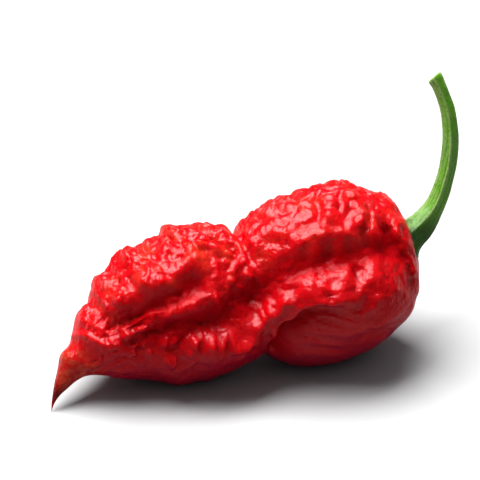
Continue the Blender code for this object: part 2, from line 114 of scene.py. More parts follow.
# Folds run from left to right. Each has its side, how far from its line the change above goes over
# into the change below, the shares of its length where it fades in and out, the height and width of
# the change above the line and of the one below it, and its path's (along, up) points.
FOLDS = (
    # the front suture
    ("front", 1.2, (0.14, 0.04), (-1.9, 4.1), (-1.7, 3.5), (
        (12.2, 11.9), (15.1, 12.4), (19.4, 14.4), (23.8, 14.8), (27.9, 15.8), (32.2, 16.7),
        (36.4, 19.6), (40.1, 22.3), (43.6, 24.8), (47.0, 25.9), (50.6, 26.8), (54.4, 27.4),
        (57.4, 28.3), (61.0, 29.0), (63.4, 30.2), (64.1, 30.8),
    )),
    # the lip of the upper bulge over the suture
    ("front", 0.8, (0.3, 0.1), (0.6, 3.0), (0.8, 2.4), (
        (38.0, 26.0), (43.0, 30.4), (48.4, 32.2), (54.0, 32.4), (60.0, 33.4),
    )),
    # the ridge under it, first along its whole length and then wider at the calyx end
    ("front", 0.8, (0.14, 0.1), (1.1, 2.7), (1.2, 2.8), (
        (23.0, 10.4), (27.5, 11.2), (31.1, 11.4), (34.7, 13.0), (37.8, 15.7), (40.1, 18.2),
        (44.1, 20.4), (48.2, 21.6), (52.7, 22.9), (56.7, 23.8), (61.2, 25.0), (64.4, 26.3),
    )),
    ("front", 0.8, (0.3, 0.2), (0.4, 2.6), (0.8, 4.2), (
        (42.0, 18.8), (48.0, 20.4), (53.0, 21.4), (58.0, 21.6), (64.0, 22.2),
    )),
    ("front", 0.6, (0.25, 0.2), (0.9, 2.4), (0.7, 2.0), (
        (24.0, 9.2), (28.0, 10.6), (31.5, 11.3), (34.7, 12.8), (37.4, 15.4), (39.4, 18.0),
    )),
    # the lobe between the ridge and the lower calyx end
    ("front", 1.5, (0.35, 0.1), (1.6, 4.6), (1.6, 2.8), (
        (48.0, 14.5), (53.0, 15.6), (58.0, 17.0), (62.0, 18.8), (65.5, 21.5),
    )),
    # the ledge over the smooth underside
    ("front", 0.4, (0.08, 0.35), (0.5, 1.2), (-2.0, 3.2), (
        (37.8, 10.8), (39.1, 13.5), (40.9, 15.5), (42.3, 16.2), (43.6, 16.6), (44.6, 17.5),
        (45.7, 18.5), (47.2, 19.4), (49.3, 19.6), (51.8, 19.6), (54.0, 19.3),
    )),
    # the crease along the lower calyx end
    ("front", 0.3, (0.2, 0.2), (-1.2, 0.6), (-1.0, 0.9), (
        (53.6, 13.3), (57.1, 14.4), (59.6, 15.7), (62.1, 17.3), (64.1, 19.3), (65.5, 20.3),
        (66.1, 22.0),
    )),
    # the tip-side bulge's shaded slope
    ("front", 2.6, (0.2, 0.3), (1.5, 3.8), (-2.2, 3.3), (
        (8.6, 15.6), (11.0, 16.8), (13.7, 18.2), (16.9, 20.2), (20.0, 21.3), (22.0, 22.4),
        (24.3, 24.0), (26.6, 24.8), (28.8, 25.0), (31.0, 24.6),
    )),
    # the ridge under it
    ("front", 0.6, (0.1, 0.3), (0.9, 1.8), (1.0, 1.4), (
        (4.7, 14.2), (10.1, 11.9), (13.9, 14.2), (18.5, 16.2), (21.4, 17.6), (25.0, 18.4),
        (28.1, 18.9), (32.0, 20.2),
    )),
    # the upper edge of the tip-side bulge's front, with the flange behind it
    ("front", 0.3, (0.14, 0.1), (-1.3, 0.9), (0.9, 1.6), (
        (20.0, 31.7), (22.3, 30.1), (24.8, 29.9), (28.8, 30.4), (31.1, 29.5), (33.3, 27.7),
    )),
    # the same on the calyx-side bulge
    ("front", 0.3, (0.14, 0.1), (-1.4, 0.9), (0.8, 1.6), (
        (33.8, 31.7), (35.1, 34.0), (37.1, 35.8), (40.1, 37.1), (42.8, 37.6), (46.4, 38.2),
        (51.8, 38.3), (57.2, 37.6),
    )),
    # the back suture, the ridge over it and a crease above and below
    ("back", 0.5, (0.14, 0.1), (-2.0, 1.7), (-2.0, 2.4), (
        (6.0, 9.6), (13.0, 12.6), (21.0, 17.5), (29.0, 19.6), (37.0, 21.0), (44.0, 23.8),
        (52.0, 24.2), (60.0, 27.2), (64.5, 29.6),
    )),
    ("back", 0.8, (0.14, 0.1), (0.8, 2.4), (0.8, 2.0), (
        (12.0, 17.5), (20.0, 22.0), (28.0, 24.6), (36.0, 26.0), (44.0, 29.6), (53.0, 30.0),
    )),
    ("back", 0.4, (0.14, 0.1), (-1.2, 1.2), (-0.8, 1.4), (
        (12.0, 25.0), (19.0, 28.2), (26.0, 28.0), (33.0, 28.2), (39.0, 33.0), (47.0, 35.0),
        (56.0, 34.2),
    )),
    ("back", 0.4, (0.14, 0.1), (-1.3, 1.4), (-0.5, 1.2), (
        (12.0, 8.6), (21.0, 10.2), (29.0, 13.0), (37.0, 15.0), (45.0, 14.6), (54.0, 17.4),
        (62.0, 22.0),
    )),
)
FOLD_SHAPE = 1.8
FOLD_REACH = 3.5
PATH_STEPS = 6

# The front's thin ridges and grooves, as (height, half width, path).
WRINKLES = (
    # the wrinkled upper left
    (0.55, 0.5, ((11.3, 26.3), (12.8, 23.9), (13.7, 22.7), (14.4, 20.9))),
    (0.4, 0.45, ((15.7, 27.5), (16.6, 26.3), (17.5, 25.6), (17.3, 23.9), (17.1, 22.7))),
    (0.4, 0.4, ((14.4, 24.7), (15.3, 25.4), (16.6, 24.8), (17.3, 23.8))),
    (0.35, 0.4, ((14.4, 23.0), (15.7, 23.0), (17.1, 23.4))),
    (0.4, 0.45, ((18.7, 25.7), (19.8, 24.7), (20.0, 23.2), (20.7, 22.7))),
    (0.35, 0.4, (
        (18.9, 28.4), (19.6, 29.9), (20.5, 29.2), (20.7, 27.9), (19.8, 27.2), (18.9, 27.4),
    )),
    (0.45, 0.45, ((19.6, 32.9), (20.5, 32.4), (21.8, 31.7), (22.0, 30.6), (21.2, 29.7))),
    (0.35, 0.4, ((22.0, 30.1), (21.2, 29.2), (21.8, 28.3))),
    (0.4, 0.45, ((12.4, 29.2), (13.3, 28.4), (14.2, 28.6))),
    (0.35, 0.4, ((7.6, 23.6), (8.3, 22.7), (8.1, 21.4), (9.0, 20.7))),
    (0.35, 0.4, ((8.8, 19.8), (9.7, 19.1), (10.4, 17.8), (11.0, 16.9))),
    (0.35, 0.4, ((9.0, 18.2), (10.1, 16.9), (11.0, 16.4))),
    (0.35, 0.4, ((6.1, 19.3), (7.4, 18.5), (8.5, 18.4))),
    (0.4, 0.45, ((12.4, 27.0), (13.3, 27.7), (14.6, 27.4), (15.5, 26.3))),
    (0.35, 0.4, ((17.1, 29.9), (17.6, 28.6), (17.5, 27.0))),
    # the tip-side bulge's flange and the neck
    (0.4, 0.4, (
        (24.8, 29.7), (25.7, 30.1), (27.2, 29.3), (28.4, 29.5), (29.5, 29.2), (30.4, 28.6),
    )),
    (0.35, 0.4, ((29.3, 32.0), (29.7, 31.1), (30.1, 30.2))),
    (0.4, 0.45, ((30.6, 32.6), (31.1, 31.3), (31.3, 30.2))),
    (0.35, 0.35, ((29.5, 27.9), (29.7, 25.9), (29.5, 23.6))),
    (0.5, 0.7, ((33.7, 27.2), (32.9, 25.6), (32.4, 24.5))),
    (0.4, 0.45, ((31.9, 24.1), (32.8, 23.0))),
    (0.45, 0.4, ((34.4, 29.0), (35.3, 27.2), (36.4, 25.9), (37.8, 24.8))),
    (0.45, 0.5, ((34.9, 25.6), (35.5, 24.5), (36.9, 24.3))),
    (0.4, 0.5, ((33.3, 23.2), (34.6, 21.8))),
    (0.35, 0.4, ((35.8, 33.7), (35.3, 32.2), (34.2, 31.0))),
    (0.35, 0.4, ((34.6, 33.1), (33.8, 31.9), (33.5, 30.8))),
    # the strands round the mound over the suture
    (0.5, 0.5, ((9.7, 14.0), (12.6, 14.9), (15.3, 16.2), (17.5, 17.6), (19.1, 17.8), (20.2, 16.6))),
    (0.4, 0.4, ((20.9, 20.2), (21.4, 18.5), (20.7, 16.0))),
    (0.4, 0.4, ((21.1, 19.8), (22.3, 20.7), (23.6, 19.8), (24.1, 18.0))),
    (0.5, 0.6, ((25.6, 20.2), (25.9, 18.5), (25.4, 16.9))),
    (0.35, 0.4, ((23.0, 21.8), (24.3, 20.5), (24.7, 18.9))),
    (0.35, 0.5, ((2.2, 12.1), (4.7, 14.0), (6.8, 13.3), (8.8, 12.2), (10.1, 11.7), (11.7, 12.1))),
    (0.4, 0.45, ((11.7, 13.3), (14.0, 13.9), (16.2, 14.8), (18.4, 16.2))),
    # the ridge under the suture
    (0.55, 0.7, ((38.3, 19.8), (38.9, 18.5), (39.8, 17.8), (41.0, 19.3), (42.5, 20.7))),
    (0.5, 0.7, ((39.6, 18.0), (37.8, 16.6), (36.4, 15.1), (35.8, 14.0))),
    (0.4, 0.4, ((36.9, 20.0), (37.6, 20.5), (38.3, 20.0))),
    (0.4, 0.5, ((34.9, 13.7), (33.5, 12.4), (32.2, 11.9))),
    # the ribs on the flank under the suture
    (0.81, 0.5, ((28.1, 11.5), (28.3, 12.4), (28.8, 13.3), (29.9, 13.8))),
    (0.88, 0.55, ((29.3, 11.3), (29.9, 12.4), (30.4, 13.1), (31.1, 13.9), (31.7, 14.6))),
    (0.88, 0.55, (
        (31.3, 11.3), (32.0, 12.1), (33.1, 12.6), (34.2, 13.1), (35.1, 13.7), (36.0, 14.8),
    )),
    (0.68, 0.5, ((31.7, 12.6), (32.2, 14.0), (32.5, 15.0))),
    (0.61, 0.45, ((35.6, 12.8), (36.2, 13.6), (36.7, 14.4))),
    (0.81, 0.6, ((36.2, 14.9), (36.7, 16.2), (37.4, 16.9), (38.5, 18.0), (39.2, 19.1))),
    (0.81, 0.55, ((25.3, 11.3), (25.6, 12.6), (26.0, 13.6))),
    (0.68, 0.5, ((26.5, 12.8), (26.9, 13.4), (27.4, 14.2))),
    (0.68, 0.5, ((24.4, 9.8), (24.7, 10.7), (24.9, 11.5))),
    (0.81, 0.5, ((20.1, 11.4), (20.7, 12.6), (21.2, 13.6))),
    (0.68, 0.5, ((21.4, 11.6), (22.3, 12.6), (23.2, 13.2))),
    (0.81, 0.6, ((20.5, 10.2), (20.9, 9.1), (21.6, 8.8), (22.0, 9.6), (21.9, 10.6))),
    (0.61, 0.4, ((13.6, 11.6), (14.9, 11.9), (16.2, 12.1), (17.5, 11.6))),
    (0.54, 0.4, ((14.5, 11.4), (14.9, 10.7), (15.2, 10.0))),
    (0.54, 0.4, ((17.6, 11.4), (17.8, 10.7), (17.9, 10.0))),
    # the streaks at the tip's underside, made pale by the painted light on raised wrinkles
    (0.35, 0.5, ((5.0, 7.4), (8.6, 9.0), (11.9, 10.6))),
    (0.35, 0.45, ((7.0, 6.8), (10.1, 7.9), (13.1, 9.3), (15.0, 9.8))),
    # grooves between the columns of the calyx-side bulge
    (-0.55, 1.1, ((49.9, 31.7), (50.2, 29.2), (50.6, 27.2))),
    (-0.55, 1.0, ((53.3, 32.0), (53.6, 29.9), (54.0, 27.9))),
    (-0.7, 1.1, ((55.8, 34.6), (56.3, 31.7), (56.7, 28.8))),
    (-0.65, 1.1, ((60.1, 34.6), (60.7, 31.9), (61.0, 29.3))),
    (-0.55, 1.6, ((42.5, 31.7), (41.8, 29.2), (42.1, 26.3))),
    (-0.4, 1.0, ((45.7, 31.0), (45.7, 28.8), (46.3, 26.8))),
    (-0.5, 0.6, ((47.3, 38.5), (48.2, 35.6), (47.9, 33.5))),
    (-0.45, 0.5, ((50.8, 39.2), (51.7, 37.1), (51.8, 35.5))),
    (-0.45, 0.5, ((53.8, 38.7), (53.6, 36.9), (54.4, 35.3), (55.1, 34.2))),
    (-0.5, 0.5, ((56.5, 39.2), (56.7, 36.9), (57.2, 35.3), (57.4, 33.3))),
    (-0.5, 0.5, ((57.8, 38.5), (58.1, 36.7), (59.8, 35.5), (60.5, 34.2))),
    (-0.45, 0.6, ((39.6, 34.2), (41.0, 33.5), (43.0, 34.0))),
    (-0.6, 0.9, ((54.4, 27.0), (54.9, 25.2), (54.4, 22.7), (52.9, 20.3))),
    (-0.5, 0.8, ((59.6, 27.7), (59.8, 25.4), (60.3, 23.2))),
    (-0.4, 0.7, ((48.4, 25.2), (47.9, 23.4), (46.6, 21.8))),
    (-0.35, 0.5, ((64.4, 27.0), (64.8, 24.5), (64.6, 22.0))),
    (-0.35, 0.4, ((63.4, 33.8), (63.2, 32.2), (63.5, 31.0))),
    (0.4, 0.4, ((63.6, 29.2), (64.6, 27.8), (65.2, 26.0), (65.3, 24.0))),
    (-0.4, 0.4, ((62.9, 27.6), (63.9, 26.2), (64.3, 24.0), (64.2, 21.6))),
    (0.35, 0.4, ((62.4, 25.8), (63.3, 24.2), (63.4, 22.2), (62.9, 20.4))),
    # streaks along the smooth underside
    (0.17, 0.5, ((40.6, 15.2), (43.0, 15.6), (46.4, 15.4), (50.0, 16.0))),
    (0.19, 0.5, ((41.8, 14.2), (44.6, 14.7), (48.6, 14.4), (52.0, 14.8))),
    (-0.17, 0.5, ((41.4, 13.2), (44.6, 13.5), (50.0, 13.3), (53.5, 13.9))),
    (0.19, 0.5, ((42.5, 12.1), (46.4, 12.7), (50.9, 12.3), (54.0, 12.8))),
    (-0.17, 0.5, ((43.6, 11.2), (48.1, 11.5), (52.9, 11.2))),
    (0.17, 0.5, ((43.0, 10.2), (47.0, 10.6), (51.6, 10.4), (54.6, 11.3))),
    (0.17, 0.5, ((47.0, 17.2), (50.0, 17.4), (53.6, 16.8), (57.0, 17.2))),
    (-0.17, 0.5, ((49.0, 16.6), (53.0, 16.0), (56.0, 16.2))),
    (0.19, 0.5, ((56.0, 15.0), (59.0, 15.6), (61.4, 16.8), (63.4, 18.6))),
    (-0.17, 0.5, ((58.0, 13.6), (60.6, 14.9), (62.8, 16.8))),
    (0.35, 0.7, ((45.7, 16.4), (46.8, 16.6), (47.7, 16.4))),
    (0.25, 0.5, ((55.1, 18.5), (56.5, 19.3), (58.0, 19.6))),
    (0.17, 0.5, ((64.4, 19.4), (62.3, 17.6), (59.8, 16.0), (57.2, 14.6), (54.4, 13.7))),
)
WRINKLE_SPAN = (-0.05, 0.3)
WRINKLE_REACH = 2.2

# Folds wander off their paths by this much, over bends of this size.
PATH_WARP = 0.55
PATH_WARP_SIZE = 2.8

# How far round the edge between front and back what belongs to one side fades out.
SIDE_BLEND = 0.25

# The puffs that stand out on the front, as (along, up, half length, half width, lean). The lean is
# in degrees from upright, toward the calyx at the lower end.
PUFFS = (
    # the strip behind the calyx-side bulge's upper edge
    (34.0, 33.5, 0.9, 0.5, -40), (35.6, 35.3, 0.9, 0.5, -35), (37.3, 36.4, 0.9, 0.6, -20),
    (39.4, 37.3, 0.9, 0.6, -20), (42.3, 38.5, 1.3, 0.6, -20), (44.6, 39.1, 0.7, 0.5, -10),
    (46.6, 39.6, 1.1, 0.6, -10), (49.1, 40.1, 0.7, 0.7, 0), (51.1, 40.5, 0.7, 0.7, 10),
    # its front, from left to right
    (40.0, 34.7, 1.6, 1.1, 80), (42.3, 36.4, 1.6, 0.8, 70), (45.7, 36.0, 1.4, 1.4, 0),
    (36.4, 33.7, 0.9, 0.5, 0), (37.8, 32.2, 1.1, 0.9, 0), (36.5, 30.1, 0.9, 0.7, 0),
    (44.1, 34.4, 0.7, 0.6, 0), (44.8, 30.1, 0.7, 0.6, 0), (49.9, 37.6, 1.3, 1.1, 20),
    (48.1, 36.9, 0.9, 0.4, 15), (49.7, 35.1, 1.1, 1.1, 0), (51.3, 33.3, 1.1, 0.9, 0),
    (48.8, 33.7, 0.9, 0.6, 20), (53.8, 33.7, 0.9, 0.8, 0), (52.6, 38.9, 0.7, 0.6, 40),
    (53.6, 37.6, 0.9, 0.4, 20), (52.4, 36.2, 1.1, 0.5, 10), (54.5, 35.3, 1.1, 0.4, 20),
    (54.7, 39.1, 0.5, 0.4, 0), (56.2, 36.4, 1.3, 0.6, 18), (57.2, 38.3, 1.3, 0.4, 10),
    (58.7, 35.1, 1.3, 0.9, 20), (58.5, 33.5, 0.7, 0.7, 0), (61.6, 35.3, 1.1, 0.6, 30),
    (62.5, 34.2, 0.7, 0.6, 30), (54.2, 31.9, 0.6, 0.4, 0), (58.9, 30.6, 1.4, 0.8, 10),
    (52.4, 30.8, 0.7, 0.4, 0), (46.8, 31.0, 1.3, 0.4, 20), (48.1, 29.7, 1.6, 0.4, 15),
    (49.1, 30.8, 1.1, 0.4, 15), (48.4, 28.4, 0.9, 0.4, 0), (38.9, 29.5, 0.9, 0.4, 20),
    (40.3, 27.7, 0.9, 0.4, 25), (41.6, 30.4, 0.7, 0.5, 0), (59.8, 38.2, 1.1, 0.6, 40),
    (61.4, 37.3, 0.9, 0.5, 45), (62.1, 32.2, 0.9, 0.5, 10),
    # the lower lip of the suture
    (42.9, 23.0, 0.9, 0.6, -60), (45.0, 24.2, 0.7, 0.5, 80), (46.8, 24.9, 0.9, 0.6, 60),
    (48.9, 25.4, 0.6, 0.5, 0), (53.4, 26.2, 0.7, 0.5, 30), (55.0, 27.1, 0.6, 0.4, 60),
    (57.2, 27.4, 0.9, 0.5, 75), (59.3, 27.9, 0.6, 0.5, 20), (61.2, 28.6, 0.8, 0.5, 60),
    (34.6, 17.6, 0.8, 0.5, -40), (36.6, 18.8, 0.6, 0.5, -40),
    # the ridge under the suture, from right to left
    (60.8, 27.0, 1.3, 0.7, 35), (61.6, 24.5, 0.7, 0.6, 0), (62.5, 28.6, 0.5, 0.5, 0),
    (57.4, 24.8, 1.4, 1.3, 0), (56.0, 26.3, 0.8, 0.7, 0), (58.7, 26.3, 1.1, 0.4, -5),
    (58.5, 22.9, 0.6, 0.6, 0), (58.3, 21.4, 0.6, 0.5, 0), (57.6, 19.1, 0.8, 0.6, 70),
    (55.1, 22.5, 0.9, 0.5, 0), (52.6, 24.1, 0.9, 0.7, -40), (50.6, 24.7, 1.4, 0.6, 75),
    (51.8, 22.9, 1.1, 0.7, 0), (48.2, 23.2, 0.9, 0.6, 0), (49.3, 22.3, 0.7, 0.6, 0),
    (45.9, 22.1, 1.3, 1.0, -45), (44.1, 20.9, 1.1, 0.7, -50), (41.8, 20.2, 1.3, 0.5, -50),
    (39.4, 19.8, 0.7, 0.6, 0), (40.0, 17.8, 0.9, 0.6, -60), (38.5, 16.4, 1.4, 0.6, -45),
    (36.4, 14.2, 0.9, 0.6, -50), (34.4, 12.8, 0.9, 0.5, -40), (32.2, 12.8, 1.1, 0.6, -30),
    (30.4, 12.1, 1.4, 0.6, -25), (28.4, 11.9, 0.9, 0.5, -25), (26.1, 12.6, 1.3, 0.6, -20),
    (37.8, 19.3, 0.7, 0.5, 0), (36.0, 16.2, 0.9, 0.5, -45),
    # the tip-side bulge under the suture
    (20.5, 12.1, 0.7, 0.7, 0), (21.4, 9.0, 1.1, 0.7, 5), (17.6, 10.8, 0.7, 0.5, 0),
    (23.6, 10.8, 0.9, 0.5, -15), (15.8, 9.0, 1.1, 0.5, 80), (25.4, 9.4, 0.9, 0.5, -20),
    (28.8, 9.0, 1.1, 0.5, -25), (19.1, 8.3, 0.9, 0.5, 0), (14.0, 10.8, 0.9, 0.5, 70),
    (33.8, 10.8, 0.9, 0.5, -40),
    # the tip-side bulge over the suture
    (23.8, 19.6, 1.3, 0.5, 5), (22.3, 19.1, 1.4, 0.5, 5), (25.2, 19.4, 1.4, 0.5, 0),
    (26.5, 18.2, 0.9, 0.4, 0), (21.2, 20.3, 0.9, 0.5, 0), (18.0, 16.6, 1.1, 0.6, -65),
    (16.2, 15.1, 0.9, 0.5, -65), (13.3, 14.2, 0.9, 0.5, -70), (17.3, 18.2, 0.7, 0.5, 0),
    (19.4, 17.6, 0.7, 0.5, -50), (27.9, 23.2, 1.1, 0.5, 10), (29.7, 24.5, 0.9, 0.5, 10),
    (32.6, 24.5, 1.1, 0.6, 10), (33.5, 26.3, 0.9, 0.5, 20), (34.9, 23.9, 1.1, 0.5, 25),
    (31.7, 21.6, 1.1, 0.5, 15), (31.5, 20.2, 0.5, 0.5, 0), (32.4, 18.9, 0.5, 0.5, 0),
    (33.8, 21.1, 1.1, 0.5, 20), (35.6, 22.0, 0.9, 0.5, 25), (29.7, 20.5, 1.1, 0.4, 10),
    (30.6, 22.9, 0.9, 0.4, 15), (36.9, 24.7, 0.9, 0.5, 40), (36.0, 26.3, 1.1, 0.4, 20),
    (29.2, 26.5, 1.1, 0.5, 5), (31.0, 27.0, 0.9, 0.5, 10),
    # the tip-side bulge's upper edge and flange
    (21.2, 32.6, 0.9, 0.7, 60), (23.4, 32.6, 1.3, 0.6, 85), (25.9, 32.2, 1.3, 0.7, 85),
    (28.4, 32.4, 1.1, 0.7, 85), (30.6, 32.2, 0.9, 0.7, 50), (31.7, 30.4, 0.9, 0.5, 30),
    (29.2, 30.1, 0.9, 0.5, 70), (26.6, 29.7, 1.1, 0.6, 80), (24.5, 29.2, 0.9, 0.6, 60),
    (22.7, 29.7, 0.7, 0.5, 20), (25.9, 27.7, 1.4, 0.7, 0), (27.7, 27.9, 1.1, 0.5, 0),
    (24.1, 27.2, 1.1, 0.5, 10), (22.3, 27.7, 1.1, 0.5, 15), (29.9, 28.6, 0.9, 0.5, 20),
    (20.3, 30.4, 0.9, 0.7, -10),
    # the wrinkled upper left
    (19.6, 28.6, 1.1, 0.9, 0), (18.0, 27.7, 0.9, 0.5, -20), (19.1, 25.0, 0.8, 0.6, 0),
    (20.5, 26.5, 0.7, 0.5, 10), (17.3, 25.9, 1.1, 0.5, 10), (15.1, 24.5, 1.3, 0.9, -40),
    (16.4, 22.9, 0.9, 0.7, 0), (13.5, 23.4, 1.6, 0.4, -28), (12.2, 26.1, 0.9, 0.7, 0),
    (14.0, 26.8, 0.9, 0.7, 30), (16.0, 28.3, 0.9, 0.7, 30), (17.3, 29.9, 0.9, 0.5, 60),
    (10.4, 27.0, 0.7, 0.6, 0), (11.5, 24.7, 0.9, 0.5, 0), (9.4, 23.2, 0.7, 0.6, 0),
    (8.5, 21.8, 0.8, 0.6, 0), (10.6, 22.0, 1.1, 0.7, 20), (12.4, 21.2, 0.9, 0.5, 20),
    (9.4, 20.2, 1.1, 0.7, 60), (7.7, 19.6, 0.7, 0.6, 0), (6.3, 18.4, 0.7, 0.7, 0),
    (8.1, 17.3, 0.9, 0.6, 40), (10.3, 18.2, 1.1, 0.5, 60), (11.9, 19.4, 0.9, 0.5, 60),
    (5.6, 16.4, 0.7, 0.7, 0), (7.2, 15.3, 0.9, 0.6, 60), (6.5, 13.7, 0.9, 0.5, 60),
    (8.3, 12.6, 1.1, 0.5, 70), (11.0, 12.1, 1.1, 0.5, 85), (5.2, 13.5, 0.5, 0.7, 0),
    (4.7, 11.3, 1.1, 0.4, -15), (9.4, 15.1, 0.9, 0.5, 60), (15.1, 20.3, 0.9, 0.5, 50),
    (17.6, 22.0, 0.9, 0.5, 40), (20.0, 23.0, 0.7, 0.5, 40), (14.2, 29.7, 0.9, 0.6, 50),
)
PUFF_SPREAD = 1.65
PUFF_STEEP = 0.3
PUFF_PROFILE = (1.3, 1.5)
PUFF_CALYX_SHARE = 0.7

# Where the front's skin is calm, as (along, up, half length, half width).
CALM = (
    (55.0, 29.3, 8.5, 2.6), (43.5, 27.5, 5.5, 3.4), (49.0, 13.0, 11.0, 5.5), (60.0, 17.0, 3.5, 4.0),
    (18.0, 20.5, 6.0, 2.2), (27.5, 24.5, 7.0, 3.4), (27.5, 17.5, 6.0, 1.6), (18.0, 9.0, 8.0, 2.0),
    (62.0, 31.0, 2.5, 2.5),
)
CALM_SHARE = 0.25
CALM_EDGE = (0.6, 1.2)

# Where along the pod the calyx-side bulge takes over from the tip-side one.
COLUMN_SPAN = (30.0, 38.0)

# Grades of puffed skin, as (size, place in the noise, warp, crease width): three sizes of puff for
# the whole pod, two of crinkle for its front, and the knobs along its upper edge.
BIG_PUFFS = (3.0, 1, 0.55, 0.3)
SMALL_PUFFS = (1.5, 1, 0.6, 0.12)
FINE_PUFFS = (0.8, -1, 0.6, 0.1)
LONG_CRINKLE = (2.7, -1, 0.7, 0.08)
SHORT_CRINKLE = (1.25, 2, 0.7, 0.1)
EDGE_KNOBS = (1.9, 4, 0.4, 0.35)
PUFF_ROUNDING = 0.3

# Columns of skin round the calyx-side bulge.
COLUMN_PITCH = 3.1
COLUMN_LEAN = -0.25
COLUMN_CREASE = 0.6
COLUMN_WANDER = 0.55
WANDER_SIZE = 4.4

# How high each grade stands, as (mean, height on the tip-side bulge, and on the calyx-side one).
BIG_RISE = (0.6, 1.25, 0.875)
COLUMN_RISE = (0.7, 0.0, 0.75)
SMALL_RISE = (0.8, 0.3, 0.18)
FINE_RISE = (0.8, 0.06, 0.06)
LONG_RISE = (0.85, 0.28, 0.112)
SHORT_RISE = (0.85, 0.22, 0.088)
KNOB_RISE = (1.1, 0.35, 0.65)
FRONT_LOSS = (0.5, 0.88)  # of the puffs' height, where the front's crinkles take over
CRINKLE_GAIN = (1.5, 1.0)  # near the tip, and past it
CRINKLE_SPAN = (14.0, 26.0)
SOFT_WAVES = ((3.2, 3, 0.7), (1.4, 5, 0.22))  # size, place in the noise and height
LUMP_SIZE = 7.0
LUMP_HEIGHT = 0.45
UPPER_EDGE = (0.72, 0.92)
SMOOTH_TIP = (4.0, 10.0)
UNDERSIDE = (-0.85, -0.4)
UNDERSIDE_SHARE = 0.35

# How dark the painted shade in the creases between each grade is, and how much painted light
# lightens raised skin and painted shade darkens sunken wrinkles.
BACK_CREASE_SHADE = (0.5, 0.35, 0.15)
FRONT_CREASE_SHADE = (0.5, 0.5)
PUFF_PAINTED_LIGHT = 0.5
WRINKLE_PAINTED_LIGHT = 0.6

SEED = 5  # of the noise
SEED_SHIFT = np.array((11.3, 4.7, 8.1))

POD_RINGS = 300
POD_SIDES = 318

# The orange patches of the upper side, partly a patchy tone and partly painted light where the skin
# faces up: how far up it faces, where along the pod they begin, and where they thin out.
ORANGE_FACING = (-0.2, 0.7)
ORANGE_START = (5.0, 12.0)
ORANGE_FADE = (30.0, 36.0)
ORANGE_LOSS = 0.6

# Each ring of the calyx and stalk, from the calyx's underside to the cut end: its left point, its
# right point and how far its middle lies toward the front.
STALK_RINGS = (
    ((64.9, 31.0), (64.9, 31.0), -6.0), ((64.2, 32.7), (65.6, 29.3), -6.0),
    ((63.5, 34.3), (66.3, 27.7), -6.0), ((64.0, 34.5), (67.0, 29.1), -6.1),
    ((64.3, 34.9), (67.6, 30.6), -6.2), ((64.9, 35.4), (68.6, 32.2), -6.3),
    ((65.7, 36.2), (69.4, 33.8), -6.3), ((66.6, 37.2), (70.1, 35.5), -6.3),
    ((67.5, 38.4), (70.9, 37.4), -6.1), ((68.3, 40.0), (71.7, 39.6), -5.8),
    ((68.9, 41.6), (72.2, 41.6), -5.5), ((69.5, 43.5), (72.7, 43.7), -5.1),
    ((70.0, 46.3), (73.1, 46.8), -4.4), ((70.3, 49.3), (73.2, 49.5), -3.6),
    ((70.2, 52.2), (72.9, 52.6), -2.8), ((69.9, 54.4), (72.5, 54.9), -2.1),
    ((69.2, 56.7), (71.7, 57.2), -1.4), ((68.5, 58.3), (71.0, 59.0), -0.8),
    ((67.9, 59.6), (69.8, 61.2), -0.3), ((68.8, 60.4), (68.8, 60.4), -0.3),
)
STALK_RIDGES = 5
# How far round the front ridge lies, in degrees, at each share of the way to the cut end.
RIDGE_TURNS = (
    (0.0, 8.0), (0.15, 7.0), (0.28, -7.0), (0.45, -9.0), (0.62, -6.0), (0.75, 1.0), (0.85, 7.0),
    (1.0, 17.0),
)
RIDGE_HEIGHT = 0.16
# The ridges lose this much of their height near the cut end.
RIDGE_LOSS = 0.7
RIDGE_LOSS_SPAN = (0.8, 0.96)
# A flat-sided outline's mean and range, as shares of its corners' distance.
FLAT_SIDED_MEAN = 0.9
FLAT_SIDED_RANGE = 0.19

CALYX_TEETH = 5
CALYX_TOOTH_REACH = 0.5
CALYX_TOOTH_TURN = math.radians(20.0)
CALYX_RIM_WAY = 0.12
CALYX_RIM_LENGTH = 0.02
CALYX_RIM_RING = 2

# The calyx's rim lies this high on the pod's skin, and its underside this much lower. The drape
# fades out up the stalk, and looks for the skin from this far over a point and this far down.
RIM_HEIGHT = 0.15
UNDER_DEPTH = 0.6
UNDER_SPAN = (0.03, 0.08)
DRAPE_SPAN = (0.1, 0.17)
DRAPE_LIFT = 6.0
DRAPE_DROP = 14.0

STREAK_SCALE = (9.0, 5.0, 5.0)  # along the stalk and across it
# How far round the stalk the side with the painted light is turned.
PAINTED_LIGHT_SIDE_TURN = math.radians(10.0)

STEM_RINGS = 220
STEM_SIDES = 100

# The picture: its centre in the leaning plane, its width there, and the camera's distance.
VIEW_CENTRE = (33.84, 30.96, 0.0)
VIEW_WIDTH = 86.4
VIEW_DISTANCE = 3000.0
SENSOR = 36.0

# The red skin's colours. The painted shades and the tip's own brown lie over one another: the field
# each follows, the field's values where it begins and where it is full, its full share, and its
# colour.
RED_LIT = (0.36, 0.001, 0.003, 1)
# the painted shade in the creases
RED_CREASE_SHADE = (0.21, 0.0006, 0.002, 1)
# orange, partly a patchy tone and partly painted light on the upper side
RED_ORANGE_AND_LIGHT = (0.4, 0.018, 0.007, 1)
RED_PAINTED_SHADE_AND_TIP = (
    # painted shade in the folds
    ("fold", -0.2, -1.9, 0.7, (0.2, 0.0006, 0.002, 1)),
    # painted shade where the skin turns down
    ("rise", 0.4, -0.4, 0.7, (0.3, 0.0008, 0.005, 1)),
    # painted shade on the underside
    ("rise", -0.2, -0.7, 0.85, (0.185, 0.0008, 0.0115, 1)),
    # the tip's own brown
    ("way", 0.15, 0.06, 0.7, (0.18, 0.01, 0.006, 1)),
)
TIP_MOTTLE = (0.28, 0.027, 0.012, 1)
TIP_END = (0.05, 0.0015, 0.002, 1)

